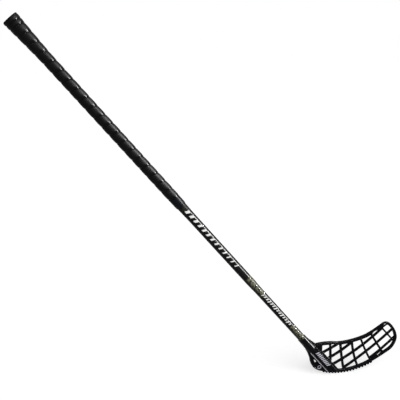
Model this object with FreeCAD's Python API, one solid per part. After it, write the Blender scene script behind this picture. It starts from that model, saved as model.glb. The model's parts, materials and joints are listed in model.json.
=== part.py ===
"""Floorball stick in playing position: composite shaft, wound grip and moulded lattice blade.

Millimetres, +Z up. Shaft and blade stand in the XZ plane, the toe of the blade points to +X and
its hollow face looks to -Y. The origin is the middle of the upper hand, on the shaft's axis.
"""
import FreeCAD
import Part

import math
import os

from FreeCAD import Vector

# Whole stick
stick_length = 1115.6       # butt face to floor, along the shaft's axis
lean_angle = 49.7           # degrees between shaft and floor
hand_from_butt = 85.0       # butt face to the middle of the upper hand

# Shaft tube, with places measured from the butt face
grip_tube_d = 21.8
middle_d = 20.5
lower_d = 18.5
tube_wall = 1.6
upper_taper = 40.0          # length of the taper that starts where the grip ends
lower_taper_from = 770.0
lower_taper = 36.0

# End cap and knob former
cap_thickness = 3.2
cap_edge_radius = 1.4
cap_spigot = 26.0
knob_d = 34.0               # over the grip tape, at the butt
knob_flare = 92.0           # length of the former's taper
former_edge = 0.6           # thickness of the former where it runs out

# Grip tape and finishing tape
grip_length = 519.0         # butt face to the finishing tape's lower edge
tape_width = 23.0
tape_gap = 0.7              # between one turn and the next
tape_thickness = 1.5
tape_lap = 0.5              # extra height of the lower edge, which laps over the turn below
tape_facets = 18            # flat stretches in one turn
tape_start_angle = 97.0     # where round the shaft the tape's lower edge leaves the butt
finish_width = 25.0
finish_thickness = 1.4
finish_chamfer = 0.5

# Hosel and its fixing
hosel_height = 138.6        # collar to floor, along the shaft's axis
hosel_wall = 2.1
hosel_taper = 42.0          # from the collar down to the full wall
collar_lip = 0.9            # wall of the collar
collar_length = 7.0
collar_groove = 0.4
socket_depth = 64.0
glue_film = 0.3
foot_d = 12.0               # where the hosel runs out below the socket, inside the panel
foot_taper = 30.0
panel_heel_side = 9.4       # flat panel below the socket, from the shaft's axis
panel_toe_side = 10.4
panel_depth = 21.6          # front to back at its top
panel_sole_depth = 8.6      # front to back at the floor
ridge_d = 2.4               # rounded ridge along the panel's heel side
ridge_low = 17.6            # above the floor, along the shaft's axis
screw_from_collar = 24.0
screw_d = 3.0
screw_head_d = 6.4
screw_head_height = 1.9
screw_seat_depth = 0.5
screw_grip = 1.5            # how far the screw's point stands inside the tube

# Blade, with places measured from where the shaft's axis meets the floor
toe_reach = 157.5
toe_height = 129.0
heel_reach = 27.0           # heel's bulge, square to the shaft's axis
rim_width = 6.0
rim_toe_width = 4.9
rim_depth = 7.6
bead_width = 2.3            # rim's outer edge, outside its groove
groove_width = 1.7
groove_depth = 0.7          # on each face
rib_width = 4.8
rib_depth = 4.4
web_depth = 6.0
web_margin = 3.5            # web beside the hosel
hook_radius = 1000.0
sole_radius = 160.2         # through the tips of the teeth
tooth_height = 2.8
tooth_pitch = 7.9
boss_d = 11.0
boss_recess_d = 6.4
boss_height = 0.8
boss_recess_depth = 1.6
bar_d = 2.2                 # rounded bar across the heel web

# Fits
fit_clearance = 0.05
overrun = 5.0               # how far a cutting shape runs past what it cuts

# Plan of the blade: x as shares of toe_reach, z as shares of toe_height
sole_low_share = 0.112
sole_heel_share = -0.206
sole_toe_share = 0.639
edge_start_share = (-0.320, 0.664)
edge_shares = [             # middle and end of each arc, from the hosel round the toe to the sole
    ((-0.130, 0.675), (0.031, 0.651)),
    ((0.282, 0.680), (0.501, 0.760)),
    ((0.641, 0.864), (0.760, 0.975)),
    ((0.810, 1.000), (0.875, 0.977)),
    ((0.963, 0.836), (1.000, 0.691)),
    ((0.979, 0.557), (0.901, 0.420)),
]
toe_rise_share = (0.769, 0.305)
rib_shares = [
    [(-0.086, 0.660), (-0.069, 0.281)],
    [(0.083, 0.641), (0.122, 0.312), (0.168, 0.044)],
    [(0.274, 0.668), (0.308, 0.425), (0.400, 0.095)],
    [(0.413, 0.711), (0.515, 0.420), (0.610, 0.204)],
    [(0.571, 0.799), (0.681, 0.583), (0.790, 0.381)],
    [(0.727, 0.920), (0.839, 0.771), (0.972, 0.578)],
    [(-0.219, 0.458), (0.029, 0.603)],
    [(-0.150, 0.311), (0.096, 0.465), (0.289, 0.638)],
    [(-0.041, 0.184), (0.308, 0.420), (0.755, 0.873)],
    [(0.149, 0.087), (0.521, 0.405), (0.950, 0.885)],
    [(0.586, 0.254), (0.762, 0.434), (0.972, 0.691)],
    [(0.747, 0.881), (0.863, 0.998)],
    [(0.600, 0.212), (0.778, 0.404)],
]
rib_width_shares = [1, 1, 0.92, 0.8, 0.76, 0.62, 1, 1, 1, 0.95, 0.92, 0.75, 0.75]
toe_slit_shares = [(0.778, 0.940), (0.787, 0.975), (0.820, 0.984), (0.815, 0.960)]
neck_web_shares = [(-0.225, 0.716), (-0.225, 0.422), (-0.435, 0.422), (-0.435, 0.716)]

# Heel: side as shares of heel_reach, height along the shaft as shares of hosel_height
heel_shares = [             # middle and end of each arc, from the sole up to the hosel
    ((-0.880, 0.281), (-1.030, 0.398)),
    ((-0.945, 0.484), (-0.730, 0.570)),
    ((-0.550, 0.670), (-0.390, 0.846)),
]
heel_window_shares = [(-0.493, 0.522), (-0.461, 0.422), (-0.648, 0.424)]
boss_share = (-0.610, 0.316)
fin_shares = [(0.360, 0.965), (0.430, 0.878), (0.570, 0.725), (0.360, 0.655)]
bar_shares = [(-0.789, 0.361), (-0.393, 0.342)]
tooth_tip_share = 0.45      # of the pitch, at the tip
tooth_root_share = 0.92     # of the pitch, at the root
toe_depth_share = 0.68      # thickness at the toe, of that at the hosel

# Worked out
lean = math.radians(lean_angle)
up_axis = Vector(-math.cos(lean), 0, math.sin(lean))
floor_point = up_axis * (hand_from_butt - stick_length)
tube_start = stick_length - cap_thickness
tube_end = hosel_height - socket_depth
grip_tube_r = grip_tube_d / 2
socket_r = lower_d / 2 + glue_film + 2 * fit_clearance
hosel_r = socket_r + hosel_wall
lip_r = socket_r + collar_lip
lip_low = hosel_height - collar_length - collar_groove
full_wall_up = hosel_height - hosel_taper
tape_pitch = tape_width + tape_gap
hook_drop = hook_radius - math.sqrt(hook_radius ** 2 - toe_reach ** 2)
screw_up = hosel_height - screw_from_collar
taper_at_screw = min(1.0, (lip_low - screw_up) / (lip_low - full_wall_up))
screw_seat = lip_r + (hosel_r - lip_r) * taper_at_screw - screw_seat_depth


def leaning(shape):
    """Tip a shape made round +Z, counted up from the floor, to the shaft's lean."""
    turn = FreeCAD.Placement(Vector(0, 0, 0), FreeCAD.Rotation(Vector(0, 1, 0), lean_angle - 90))
    shape.Placement = turn.multiply(shape.Placement)
    return shape


def along_shaft(shape):
    """Set a shape made round +Z on the leaning shaft."""
    shape = leaning(shape)
    shape.translate(floor_point)
    return shape


def turned(profile):
    """Solid of revolution about Z from (radius, height) points."""
    points = [Vector(r, 0, z) for r, z in profile]
    face = Part.Face(Part.makePolygon(points + points[:1]))
    return face.revolve(Vector(0, 0, 0), Vector(0, 0, 1), 360)


def ring(outer_r, inner_r, low, high):
    """Plain sleeve between two heights."""
    return turned([(inner_r, low), (outer_r, low), (outer_r, high), (inner_r, high)])


def screw_hole():
    """Clearance hole for the screw, from the axis out through the hosel's back."""
    start = Vector(0, 0, screw_up)
    return Part.makeCylinder(screw_d / 2 + fit_clearance, hosel_r, start, Vector(0, 1, 0))


def make_shaft_tube():
    """Tapered tube from the end cap to the bottom of the socket."""
    radius_at = [
        (grip_tube_r, tube_start),
        (grip_tube_r, stick_length - grip_length),
        (middle_d / 2, stick_length - grip_length - upper_taper),
        (middle_d / 2, stick_length - lower_taper_from),
        (lower_d / 2, stick_length - lower_taper_from - lower_taper),
        (lower_d / 2, tube_end),
    ]
    inside = [(r - tube_wall, z) for r, z in reversed(radius_at)]
    return turned(radius_at + inside).cut(screw_hole())


def former_r():
    """Radius of the knob former under the tape, at the butt."""
    return knob_d / 2 - tape_thickness - tape_lap


def make_end_cap():
    """Disc that closes the butt, with a spigot in the tube."""
    disc = Part.makeCylinder(former_r() + tape_thickness, cap_thickness, Vector(0, 0, tube_start))
    top = [e for e in disc.Edges if e.Closed and e.CenterOfMass.z > tube_start + cap_thickness / 2]
    disc = disc.makeFillet(cap_edge_radius, top)
    spigot_r = grip_tube_r - tube_wall - fit_clearance
    spigot = Part.makeCylinder(spigot_r, cap_spigot, Vector(0, 0, tube_start - cap_spigot))
    return disc.fuse(spigot).removeSplitter()


def make_knob_former():
    """Tapered sleeve on the tube that flares the grip at the butt."""
    inner = grip_tube_r + fit_clearance
    low = stick_length - knob_flare
    return turned([(inner, low), (inner + former_edge, low), (former_r(), tube_start), (inner, tube_start)])


def core_r(height):
    """Radius of what the grip tape is wound on: the former, a run-out below it, the bare tube."""
    low = stick_length - knob_flare
    edge = grip_tube_r + fit_clearance + former_edge
    if height >= low:
        return edge + (former_r() - edge) * (height - low) / (tube_start - low)
    return edge - (edge - grip_tube_r) * min(1.0, (low - height) / tape_pitch)


def make_grip_tape():
    """Tape wound down the shaft as one unbroken strip, cut square at both ends of the grip."""
    start = tube_start - fit_clearance
    end = stick_length - grip_length + finish_width + fit_clearance
    turn_share = (start - end + tape_width) / tape_pitch
    steps = round(turn_share * tape_facets)
    step = 2 * math.pi * turn_share / steps
    sections = []
    edges = []
    for k in range(1, steps):
        angle = k * step
        turn = angle + math.radians(tape_start_angle)
        lower = start - tape_pitch * angle / (2 * math.pi)
        high = min(start, lower + tape_width)
        low = max(end, lower)
        out = Vector(math.cos(turn), math.sin(turn), 0)
        lift = Vector(0, 0, 1)
        inner_high = (core_r(high) + fit_clearance) / math.cos(step / 2)
        inner_low = (core_r(low) + fit_clearance) / math.cos(step / 2)
        corners = [
            out * inner_high + lift * high,
            out * (inner_high + tape_thickness) + lift * high,
            out * (inner_low + tape_thickness + tape_lap) + lift * low,
            out * inner_low + lift * low,
        ]
        sections.append(Part.makePolygon(corners + corners[:1]))
        edges.append((corners[:2], corners[2:]))
    print("grip tape: %.1f turns, least gap to itself %.2f mm" % (turn_share, tape_self_gap(edges)))
    return Part.makeLoft(sections, True, True)


def tape_self_gap(edges):
    """Least distance from a turn's lower edge to the upper edge of the turn below it, on points."""
    gaps = []
    for k, (_, lower_edge) in enumerate(edges):
        for upper_edge, _ in edges[k + tape_facets - 2:k + tape_facets + 3]:
            gaps += [a.distanceToPoint(b) for a in lower_edge for b in upper_edge]
    return min(gaps)


def make_finishing_tape():
    """Smooth band that holds the grip tape's lower end."""
    inner = grip_tube_r + fit_clearance
    low = stick_length - grip_length
    outer = inner + finish_thickness
    return turned([
        (inner, low), (outer - finish_chamfer, low), (outer, low + finish_chamfer),
        (outer, low + finish_width), (inner, low + finish_width),
    ])


def make_hot_melt():
    """Film of glue between shaft and socket."""
    inner = lower_d / 2 + fit_clearance
    film = ring(inner + glue_film, inner, tube_end, hosel_height - collar_groove)
    return film.cut(screw_hole())


def make_blade_screw():
    """Pan-head screw through the hosel's back into the tube."""
    axis = Vector(0, 1, 0)
    point = lower_d / 2 - tube_wall - screw_grip
    shank = Part.makeCylinder(screw_d / 2, screw_seat - point, Vector(0, point, screw_up), axis)
    head = Part.makeCylinder(screw_head_d / 2, screw_head_height, Vector(0, screw_seat, screw_up), axis)
    return shank.fuse(head).removeSplitter()


def plan(share):
    """Point of the blade's plan from its shares."""
    return Vector(share[0] * toe_reach, 0, share[1] * toe_height)


def by_shaft(side, up):
    """Point of the blade's plan, square to the shaft's axis and along it."""
    return Vector(side * math.sin(lean), 0, side * math.cos(lean)) + up_axis * up


def heel(share):
    """Point of the heel from its shares."""
    return by_shaft(share[0] * heel_reach, share[1] * hosel_height)


def polygon_face(points):
    """Flat face from corner points."""
    return Part.Face(Part.makePolygon(points + points[:1]))


def sole_point(radius, x):
    """Point of the sole's arc, at a radius from its centre."""
    from_low = x - sole_low_share * toe_reach
    return Vector(x, 0, sole_radius - math.sqrt(radius ** 2 - from_low ** 2))


def blade_outline():
    """Face of the blade's plan, without teeth."""
    start = plan(edge_start_share)
    edges = []

    def arc_to(middle, end):
        begin = edges[-1].Vertexes[-1].Point if edges else start
        edges.append(Part.Arc(begin, middle, end).toShape())

    for middle, end in edge_shares:
        arc_to(plan(middle), plan(end))
    root = sole_radius - tooth_height
    arc_to(plan(toe_rise_share), sole_point(root, sole_toe_share * toe_reach))
    low = sole_point(root, sole_low_share * toe_reach)
    arc_to(low, sole_point(root, sole_heel_share * toe_reach))
    for middle, end in heel_shares:
        arc_to(heel(middle), heel(end))
    edges.append(Part.makeLine(edges[-1].Vertexes[-1].Point, start))
    return Part.Face(Part.Wire(edges))


def tooth_faces():
    """Teeth along the sole, square to its arc."""
    first = sole_heel_share * toe_reach
    arc_length = sole_radius * (math.asin((sole_toe_share - sole_low_share) * toe_reach / sole_radius)
                                - math.asin((sole_heel_share - sole_low_share) * toe_reach / sole_radius))
    start_angle = math.asin((first - sole_low_share * toe_reach) / sole_radius)
    count = int(arc_length / tooth_pitch)
    centre = Vector(sole_low_share * toe_reach, 0, sole_radius)
    faces = []
    for k in range(count):
        angle = start_angle + (k + 0.5) * arc_length / count / sole_radius
        down = Vector(math.sin(angle), 0, -math.cos(angle))
        across = Vector(math.cos(angle), 0, math.sin(angle))
        tip = centre + down * sole_radius
        root = tip - down * (tooth_height + rim_width / 2)
        half_tip = across * (tooth_pitch * tooth_tip_share / 2)
        half_root = across * (tooth_pitch * tooth_root_share / 2)
        faces.append(polygon_face([tip - half_tip, tip + half_tip, root + half_root, root - half_root]))
    return faces


def rib_face(points, width):
    """Band as wide as given along a straight line or a three-point arc."""
    if len(points) == 2:
        begin, end = points
        across = (end - begin).cross(Vector(0, 1, 0)).normalize() * (width / 2)
        return polygon_face([begin + across, end + across, end - across, begin - across])
    centre = Part.Arc(*points).toShape().Curve.Center

    def moved(offset):
        return [p + (p - centre).normalize() * offset for p in points]

    outer = moved(width / 2)
    inner = moved(-width / 2)
    return Part.Face(Part.Wire([
        Part.Arc(*outer).toShape(),
        Part.makeLine(outer[2], inner[2]),
        Part.Arc(*reversed(inner)).toShape(),
        Part.makeLine(inner[0], outer[0]),
    ]))


def hooked_slab(depth):
    """Sheet as thick as given that follows the blade's hook and thins towards the toe."""
    reach = math.asin(toe_reach / (hook_radius - depth)) + overrun / hook_radius
    far = -hosel_height - overrun

    def bow(side, share):
        thickness = depth * (1 - (1 - toe_depth_share) * share)
        radius = hook_radius + side * thickness / 2
        return Vector(radius * math.sin(reach * share), radius * math.cos(reach * share) - hook_radius, 0)

    profile = Part.Wire([
        Part.makeLine(Vector(far, depth / 2, 0), bow(1, 0)),
        Part.Arc(bow(1, 0), bow(1, 0.5), bow(1, 1)).toShape(),
        Part.makeLine(bow(1, 1), bow(-1, 1)),
        Part.Arc(bow(-1, 1), bow(-1, 0.5), bow(-1, 0)).toShape(),
        Part.makeLine(bow(-1, 0), Vector(far, -depth / 2, 0)),
        Part.makeLine(Vector(far, -depth / 2, 0), Vector(far, depth / 2, 0)),
    ])
    sheet = Part.Face(profile).extrude(Vector(0, 0, toe_height + 2 * overrun))
    sheet.translate(Vector(0, 0, -overrun))
    return sheet


def through(face):
    """Prism of a plan face that passes through the whole blade."""
    behind = rim_depth + overrun
    prism = face.extrude(Vector(0, -hook_drop - 2 * behind, 0))
    prism.translate(Vector(0, behind, 0))
    return prism


def joined(faces):
    """One prism through the blade out of several plan faces that overlap."""
    prisms = [through(face) for face in faces]
    return prisms[0].multiFuse(prisms[1:])


def rod(start, end, diameter):
    """Round rod between two points."""
    return Part.makeCylinder(diameter / 2, (end - start).Length, start, end - start)


def panel_front(up):
    """How far the panel's face stands before the shaft's axis, at a height along it."""
    return (panel_sole_depth + (panel_depth - panel_sole_depth) * up / full_wall_up) / 2


def make_panel():
    """Flat-faced block from the socket down to the sole, with a ridge along its heel side."""
    def section(up):
        front = panel_front(up)
        corners = [Vector(-panel_heel_side, -front, up), Vector(panel_toe_side, -front, up),
                   Vector(panel_toe_side, front, up), Vector(-panel_heel_side, front, up)]
        return Part.makePolygon(corners + corners[:1])

    block = Part.makeLoft([section(full_wall_up), section(0)], True, True)
    side = ridge_d / 2 - panel_heel_side
    ridge = rod(Vector(side, -panel_front(full_wall_up), full_wall_up),
                Vector(side, -panel_front(ridge_low), ridge_low), ridge_d)
    return block.fuse(ridge)


def make_hosel(outline):
    """Tube that takes the shaft and runs out into the panel."""
    taper_from = tube_end - hosel_wall
    collar_low = lip_low + collar_groove
    collar = turned([
        (0, taper_from), (hosel_r, taper_from), (hosel_r, full_wall_up),
        (lip_r, lip_low), (lip_r - collar_groove, collar_low),
        (lip_r, collar_low), (lip_r, hosel_height), (0, hosel_height),
    ])
    foot = turned([(0, taper_from - foot_taper), (foot_d / 2, taper_from - foot_taper),
                   (hosel_r, taper_from), (0, taper_from)])
    return leaning(collar).fuse([leaning(foot), leaning(make_panel()).common(through(outline))])


def make_rim(outline):
    """Rim with its teeth, and a groove along both faces that leaves a bead outside it."""
    window = outline.makeOffset2D(-rim_width)
    window.translate(Vector(rim_width - rim_toe_width, 0, 0))
    band = outline.cut(window)
    rim = joined([band] + tooth_faces()).common(hooked_slab(rim_depth))
    groove = outline.makeOffset2D(-bead_width).cut(outline.makeOffset2D(-bead_width - groove_width))
    return rim.cut(through(groove).cut(hooked_slab(rim_depth - 2 * groove_depth)))


def make_blade():
    """One moulding: hosel, rim with teeth, lattice ribs, heel web with its window and boss."""
    outline = blade_outline()
    band = [by_shaft(-2 * heel_reach, 0), by_shaft(hosel_r + web_margin, 0),
            by_shaft(hosel_r + web_margin, hosel_height), by_shaft(-2 * heel_reach, hosel_height)]
    web = [polygon_face(band), polygon_face([plan(s) for s in neck_web_shares])]
    web = joined(web).common(through(outline))
    web = web.cut(through(polygon_face([heel(s) for s in heel_window_shares])))
    ribs = joined([rib_face([plan(s) for s in shares], rib_width * width_share)
                   for shares, width_share in zip(rib_shares, rib_width_shares)])
    ribs = ribs.common(through(outline))
    back = Vector(0, 1, 0)
    boss_face = heel(boss_share) - back * (web_depth / 2 + boss_height)
    boss = Part.makeCylinder(boss_d / 2, web_depth + boss_height, boss_face, back)
    recess = Part.makeCylinder(boss_recess_d / 2, boss_recess_depth, boss_face, back)
    bar = rod(*[heel(s) - back * (web_depth / 2) for s in bar_shares], bar_d)
    fin = through(polygon_face([heel(s) for s in fin_shares])).common(hooked_slab(web_depth))
    ribs = ribs.common(hooked_slab(rib_depth))
    web = web.common(hooked_slab(web_depth))
    body = make_rim(outline).fuse([ribs, web, fin, make_hosel(outline), boss, bar])
    socket = Part.makeCylinder(socket_r, socket_depth + overrun, Vector(0, 0, tube_end))
    seat = Part.makeCylinder(screw_head_d / 2 + fit_clearance, overrun,
                             Vector(0, screw_seat, screw_up), back)
    slit = through(polygon_face([plan(s) for s in toe_slit_shares]))
    cuts = [leaning(cut) for cut in (socket, seat, screw_hole())]
    body = body.cut(cuts + [recess, slit]).removeSplitter()
    body.translate(floor_point)
    return body


pieces = {
    "shaft_tube": along_shaft(make_shaft_tube()),
    "end_cap": along_shaft(make_end_cap()),
    "knob_former": along_shaft(make_knob_former()),
    "grip_tape": along_shaft(make_grip_tape()),
    "finishing_tape": along_shaft(make_finishing_tape()),
    "hot_melt": along_shaft(make_hot_melt()),
    "blade_screw": along_shaft(make_blade_screw()),
    "blade": make_blade(),
}

os.makedirs("parts", exist_ok=True)
for name, shape in pieces.items():
    found = (name, len(shape.Solids), shape.isValid(), shape.Volume)
    print("%-15s solids %d  valid %s  volume %.0f mm3" % found)
    shape.exportStep("parts/" + name + ".step")
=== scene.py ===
"""Floorball stick, dressed for rendering.

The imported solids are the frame. The pieces made here stand for them in the picture: the
lacquered shaft, the wound grip with its finishing band, the butt cap, the moulded blade with
its collar, and the screw. Lengths are in metres. The UV maps, what is laid out on them, and
the sections and outlines whose comments say so are in millimetres.
"""
import json
import math

import bmesh
import bpy
from bpy.props import FloatProperty, FloatVectorProperty, IntProperty, PointerProperty
from mathutils import Euler, Matrix, Vector


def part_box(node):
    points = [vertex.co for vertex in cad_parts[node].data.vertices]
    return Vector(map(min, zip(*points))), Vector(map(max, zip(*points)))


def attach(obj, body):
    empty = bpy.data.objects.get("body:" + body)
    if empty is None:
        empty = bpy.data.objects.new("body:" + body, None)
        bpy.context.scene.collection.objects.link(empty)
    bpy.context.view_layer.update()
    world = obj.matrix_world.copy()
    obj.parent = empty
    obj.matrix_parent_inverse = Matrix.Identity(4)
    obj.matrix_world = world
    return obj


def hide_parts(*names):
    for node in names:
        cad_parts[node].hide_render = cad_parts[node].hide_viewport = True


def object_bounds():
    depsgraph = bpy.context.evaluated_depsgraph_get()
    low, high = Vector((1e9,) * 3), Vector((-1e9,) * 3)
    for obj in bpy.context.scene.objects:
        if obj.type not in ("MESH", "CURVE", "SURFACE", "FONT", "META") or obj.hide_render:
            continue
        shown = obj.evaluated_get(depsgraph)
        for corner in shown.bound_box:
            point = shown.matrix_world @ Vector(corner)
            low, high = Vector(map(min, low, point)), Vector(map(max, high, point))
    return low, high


bl_info = {
    "name": "Floorball stick",
    "version": (1, 0, 0),
    "blender": (4, 5, 0),
    "location": "3D View > Sidebar > Stick",
    "description": "Dresses the packed floorball stick and sets its stage",
    "category": "Object",
}

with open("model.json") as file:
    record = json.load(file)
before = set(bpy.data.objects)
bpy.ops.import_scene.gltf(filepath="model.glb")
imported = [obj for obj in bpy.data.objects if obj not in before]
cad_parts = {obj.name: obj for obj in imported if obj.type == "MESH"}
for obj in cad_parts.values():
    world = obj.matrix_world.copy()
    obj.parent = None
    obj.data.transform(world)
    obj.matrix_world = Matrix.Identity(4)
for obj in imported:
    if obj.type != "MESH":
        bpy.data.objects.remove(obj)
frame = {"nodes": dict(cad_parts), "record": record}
CAD_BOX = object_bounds()

MM = 0.001
# Corners closer together than this are merged.
MERGE = 0.01 * MM
# Faces round a turned piece, and steps along a quarter round
TURN_STEPS = 96
CORNER_STEPS = 6

# The shaft's axis passes through the origin: UP points up along it, and SIDE across it to the toe.
MOUNTS = {mount["name"]: mount for mount in frame["record"]["mounts"]}
UP = Vector(MOUNTS["hand_grip"]["axis"])
TILT = math.atan2(UP.x, UP.z)
SHAFT = Matrix.Rotation(TILT, 4, "Y")
SIDE = SHAFT.to_3x3() @ Vector((1, 0, 0))
# Places along UP of the butt's face and of the shaft's foot on the floor, and the foot's X
BUTT = Vector(MOUNTS["butt_face"]["pos_m"]).length
FLOOR_Z = CAD_BOX[0].z
SOLE = FLOOR_Z / UP.z
FOOT_X = UP.x * SOLE
# How far the printed bars and dashes lean along the shaft for each step across it
SLANT = 0.62


def linear(code):
    """Turn an sRGB hex colour such as 0x1a1a1c into linear red, green, blue and alpha."""
    shares = [(code >> shift & 255) / 255 for shift in (16, 8, 0)]
    return [c / 12.92 if c <= 0.04045 else ((c + 0.055) / 1.055) ** 2.4 for c in shares] + [1]


def opaque(colour):
    """Give a colour from the sidebar full alpha."""
    return (*colour, 1)


def add(tree, kind, *inputs, **settings):
    """Add a node, set it up, and set or link its inputs, given in order or as a dict by name.

    Inputs that the settings put out of use don't count in the order. A node links by its first
    output, and a Mix mixes colours.
    """
    made = tree.nodes.new("ShaderNode" + kind)
    if kind == "Mix":
        made.data_type = "RGBA"
    for name, value in settings.items():
        setattr(made, name, value)
    used = [socket for socket in made.inputs if socket.enabled]
    if inputs and isinstance(inputs[0], dict):
        used = [made.inputs[name] for name in inputs[0]]
        inputs = inputs[0].values()
    for socket, value in zip(used, inputs):
        if isinstance(value, bpy.types.Node):
            value = next(output for output in value.outputs if output.enabled)
        if isinstance(value, bpy.types.NodeSocket):
            tree.links.new(value, socket)
        else:
            socket.default_value = value
    return made


def new_material(name):
    """Start an empty node material; its third result is the place on the stick."""
    material = bpy.data.materials.new(name)
    material.use_nodes = True
    tree = material.node_tree
    tree.nodes.clear()
    return material, tree, add(tree, "TexCoord").outputs["Object"]


def span(name):
    """Distances from the butt face at which a node starts and ends along the shaft."""
    heights = [UP.dot(corner.co) for corner in frame["nodes"][name].data.vertices]
    return BUTT - max(heights), BUTT - min(heights)


def eased(start, end, share):
    """Go from start to end with a soft departure and arrival."""
    return start + (end - start) * share * share * (3 - 2 * share)


def turned(profile):
    """Turn (radius, distance from the butt) pairs round the shaft's axis into a closed shape."""
    bm = bmesh.new()
    points = [bm.verts.new((radius, 0, BUTT - down)) for radius, down in profile]
    pairs = list(zip(points, points[1:]))
    # A profile that starts off the axis is the section of a ring, and is closed.
    if profile[0][0] > 0:
        pairs.append((points[-1], points[0]))
    edges = [bm.edges.new(pair) for pair in pairs]
    bmesh.ops.spin(bm, geom=points + edges, cent=(0, 0, 0), axis=(0, 0, 1), angle=math.tau,
                   steps=TURN_STEPS, use_merge=True)
    bmesh.ops.remove_doubles(bm, verts=bm.verts, dist=MERGE)
    bmesh.ops.recalc_face_normals(bm, faces=bm.faces)
    return bm


def rounded(radius, down, bend, last):
    """Points of a quarter round about the centre (radius, down), bend away from it.

    Its angle falls to last, in degrees, from a right angle more. An angle of 0 points outwards
    from the shaft, and one of 90 towards the butt.
    """
    steps = range(CORNER_STEPS, -1, -1)
    angles = [math.radians(last + 90 * step / CORNER_STEPS) for step in steps]
    return [(radius + bend * math.cos(angle), down - bend * math.sin(angle)) for angle in angles]


def extruded(bm, corners, way):
    """Draw a flat outline along a way into a closed prism."""
    outline = bm.faces.new([bm.verts.new(corner) for corner in corners])
    end = bmesh.ops.extrude_face_region(bm, geom=[outline], use_keep_orig=True)
    moved = [item for item in end["geom"] if isinstance(item, bmesh.types.BMVert)]
    bmesh.ops.translate(bm, vec=way, verts=moved)
    bmesh.ops.recalc_face_normals(bm, faces=bm.faces)


def wrap_map(bm, girth_radius):
    """Lay a UV map of millimetres: round the shaft from its front, and down from the butt."""
    layer = bm.loops.layers.uv.new("wrap")
    for face in bm.faces:
        middle = face.calc_center_median()
        front = math.atan2(middle.x, -middle.y)
        for loop in face.loops:
            spot = loop.vert.co
            angle = math.atan2(spot.x, -spot.y)
            angle += math.tau * round((front - angle) / math.tau)
            loop[layer].uv = (angle * girth_radius / MM, (BUTT - spot.z) / MM)


def mesh_object(name, bm):
    """Put a shape into the scene as an object."""
    mesh = bpy.data.meshes.new(name)
    bm.to_mesh(mesh)
    bm.free()
    made = bpy.data.objects.new(name, mesh)
    bpy.context.scene.collection.objects.link(made)
    return made


def new_piece(name, bm, material, slot, *replaced, crease=40):
    """Make a piece from a shape in the frame, with its material, and hide the nodes it stands for.
    """
    piece = mesh_object(name, bm)
    piece.data.shade_smooth()
    piece.data.set_sharp_from_angle(angle=math.radians(crease))
    piece.data.materials.append(material)
    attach(piece, "root")
    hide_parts(*replaced)
    return piece


def shaft_piece(name, bm, material, slot, *replaced, crease=40):
    """Lean a shape that was made round +Z on to the shaft's axis and make it a piece."""
    bmesh.ops.transform(bm, matrix=SHAFT, verts=bm.verts)
    return new_piece(name, bm, material, slot, *replaced, crease=crease)


def dress_node(name, material):
    """Give a CAD node that stays in the picture its material."""
    mesh = frame["nodes"][name].data
    mesh.materials.clear()
    mesh.materials.append(material)


def strokes(tree, along, across, step, inked, run, row):
    """Mask of printed strokes that stand a step apart, each over the inked share of its step.

    Their run along the print and their row across it have a middle and half a length each.
    """
    place = add(tree, "Math", along, 1 / step, operation="MULTIPLY")
    place = add(tree, "Math", place, operation="FRACT")
    mask = add(tree, "Math", place, inked, operation="LESS_THAN")
    for limits in ((along, *run), (across, *row)):
        limit = add(tree, "Math", *limits, operation="COMPARE")
        mask = add(tree, "Math", mask, limit, operation="MULTIPLY")
    return mask


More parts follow.
